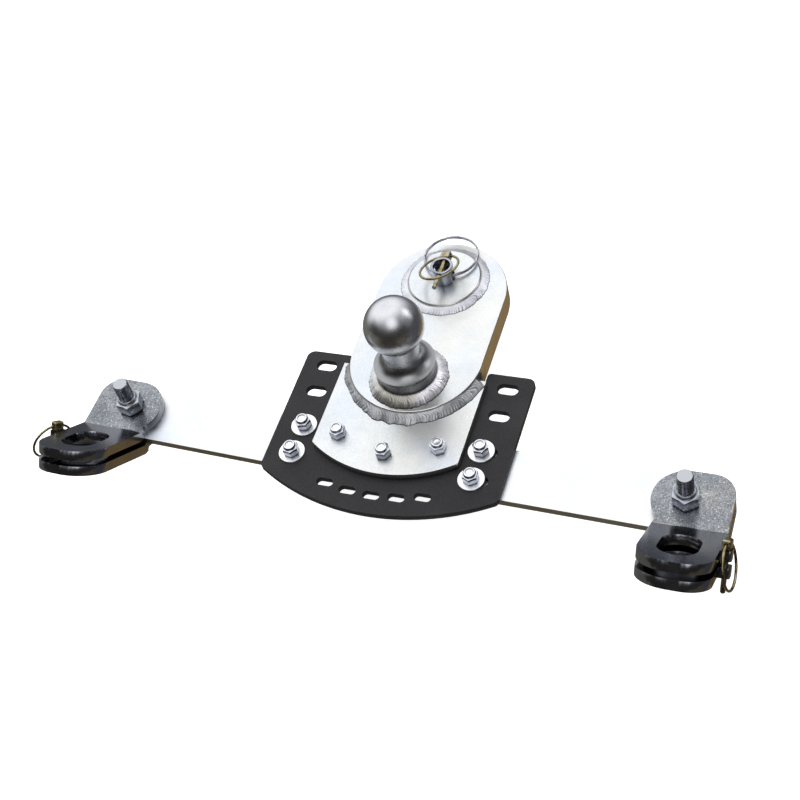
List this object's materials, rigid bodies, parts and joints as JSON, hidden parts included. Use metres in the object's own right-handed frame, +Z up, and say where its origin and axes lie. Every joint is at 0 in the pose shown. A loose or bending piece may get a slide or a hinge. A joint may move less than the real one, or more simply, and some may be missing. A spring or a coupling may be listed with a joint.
{
  "type": "offset gooseneck hitch ball with adjustable safety chain arms",
  "caption": "Offset gooseneck ball on a thick welded slab with a ball-locking shank, and slotted plates carrying adjustable arms with swivelling bent safety-chain jaws.",
  "frame": {"origin": "on the shank's axis, level with the underside of the offset slab", "axes": "+Z up along the shank and the ball's neck, +Y to the rear, the ball stands forward on -Y, the chain arms reach along -X and +X"},
  "size_m": [0.704, 0.3883, 0.2044],
  "materials": {
    "zinc": "bright zinc plate, faintly mottled",
    "zinc_dull": "zinc plate with a dull spangle",
    "black_coat": "satin black powder coat",
    "ball_steel": "turned and plated, satin",
    "weld": "plated weld bead, rippled",
    "fastener": "zinc plated",
    "yellow_zinc": "yellow chromate",
    "wire": "zinc plated wire",
    "machined": "machined steel, oiled",
    "bearing": "polished"
  },
  "bodies": {
    "hitch": {"offset_plate": "zinc", "hitch_ball": "ball_steel", "ball_weld": "weld", "shank_weld": "weld", "plate_weld": "weld", "front_plate": "zinc", "cross_plate": "black_coat", "centre_bolts": "fastener", "centre_nuts": "fastener", "shank": "zinc", "guide_tube": "zinc", "base_cap": "zinc", "cap_screws": "fastener"},
    "lock": {"lock_stem": "machined", "lock_spring": "machined"},
    "ball_1": {"lock_ball_1": "bearing"},
    "ball_2": {"lock_ball_2": "bearing"},
    "ball_3": {"lock_ball_3": "bearing"},
    "ball_4": {"lock_ball_4": "bearing"},
    "pull_ring": {"pull_ring": "wire"},
    "safety_pin": {"safety_pin": "yellow_zinc"},
    "safety_ring": {"safety_ring": "yellow_zinc"},
    "left_arm": {"left_arm": "zinc", "left_arm_bolts": "fastener", "left_arm_washers": "fastener", "left_arm_nuts": "fastener", "left_stud": "fastener", "left_stud_nut": "fastener"},
    "left_jaws": {"left_upper_jaw": "zinc_dull", "left_lower_jaw": "zinc_dull"},
    "left_linch_pin": {"left_linch_pin": "yellow_zinc"},
    "left_linch_ring": {"left_linch_ring": "yellow_zinc"},
    "right_arm": {"right_arm": "zinc", "right_arm_bolts": "fastener", "right_arm_washers": "fastener", "right_arm_nuts": "fastener", "right_stud": "fastener", "right_stud_nut": "fastener"},
    "right_jaws": {"right_upper_jaw": "zinc_dull", "right_lower_jaw": "zinc_dull"},
    "right_linch_pin": {"right_linch_pin": "yellow_zinc"},
    "right_linch_ring": {"right_linch_ring": "yellow_zinc"}
  },
  "joints": [
    {"name": "lock_lift", "type": "slide", "parent": "hitch", "child": "lock", "axis": [0, 0, 1], "range_m": [0, 0.004], "stiffness_N_per_m": 1500, "springref_m": -0.003, "deforming": ["lock_spring"]},
    {"name": "ball_1_slide", "type": "slide", "parent": "hitch", "child": "ball_1", "axis": [0.7071, 0.7071, 0], "range_m": [-0.004, 0]},
    {"name": "ball_2_slide", "type": "slide", "parent": "hitch", "child": "ball_2", "axis": [-0.7071, 0.7071, 0], "range_m": [-0.004, 0]},
    {"name": "ball_3_slide", "type": "slide", "parent": "hitch", "child": "ball_3", "axis": [-0.7071, -0.7071, 0], "range_m": [-0.004, 0]},
    {"name": "ball_4_slide", "type": "slide", "parent": "hitch", "child": "ball_4", "axis": [0.7071, -0.7071, 0], "range_m": [-0.004, 0]},
    {"name": "pull_ring_swing", "type": "hinge", "parent": "lock", "child": "pull_ring", "pos_m": [0, 0, 0.036], "axis": [1, 0, 0], "range_deg": [-1.5, 39]},
    {"name": "safety_pin_slide", "type": "slide", "parent": "hitch", "child": "safety_pin", "axis": [0, 1, 0], "range_m": [0, 0.042]},
    {"name": "safety_ring_swing", "type": "hinge", "parent": "safety_pin", "child": "safety_ring", "pos_m": [0, 0.0161, 0.0468], "axis": [-0.9659, 0, -0.2588], "range_deg": [-3, 120]},
    {"name": "left_arm_slide", "type": "slide", "parent": "hitch", "child": "left_arm", "axis": [-1, 0, 0], "range_m": [-0.0027, 0.0077]},
    {"name": "left_jaw_swivel", "type": "hinge", "parent": "left_arm", "child": "left_jaws", "pos_m": [-0.28388, -0.20167, 0], "axis": [0, 0, 1], "range_deg": [-90, 4]},
    {"name": "left_pin_slide", "type": "slide", "parent": "left_jaws", "child": "left_linch_pin", "axis": [0.0224, 0.6424, 0.766], "range_m": [0, 0.042]},
    {"name": "left_ring_swing", "type": "hinge", "parent": "left_linch_pin", "child": "left_linch_ring", "pos_m": [-0.33358, -0.25667, 0.04189], "axis": [0.3992, 0.6968, -0.596], "range_deg": [-6, 130]},
    {"name": "right_arm_slide", "type": "slide", "parent": "hitch", "child": "right_arm", "axis": [1, 0, 0], "range_m": [0, 0.011]},
    {"name": "right_jaw_swivel", "type": "hinge", "parent": "right_arm", "child": "right_jaws", "pos_m": [0.29146, -0.2127, 0], "axis": [0, 0, 1], "range_deg": [-4, 88]},
    {"name": "right_pin_slide", "type": "slide", "parent": "right_jaws", "child": "right_linch_pin", "axis": [0, 0.6428, 0.766], "range_m": [0, 0.042]},
    {"name": "right_ring_swing", "type": "hinge", "parent": "right_linch_pin", "child": "right_linch_ring", "pos_m": [0.33921, -0.2694, 0.04189], "axis": [-0.1219, -0.7603, 0.638], "range_deg": [-4, 145]}
  ],
  "couplings": [
    {"joint": "ball_1_slide", "follows": "lock_lift", "ratio": -1},
    {"joint": "ball_2_slide", "follows": "lock_lift", "ratio": -1},
    {"joint": "ball_3_slide", "follows": "lock_lift", "ratio": -1},
    {"joint": "ball_4_slide", "follows": "lock_lift", "ratio": -1}
  ]
}
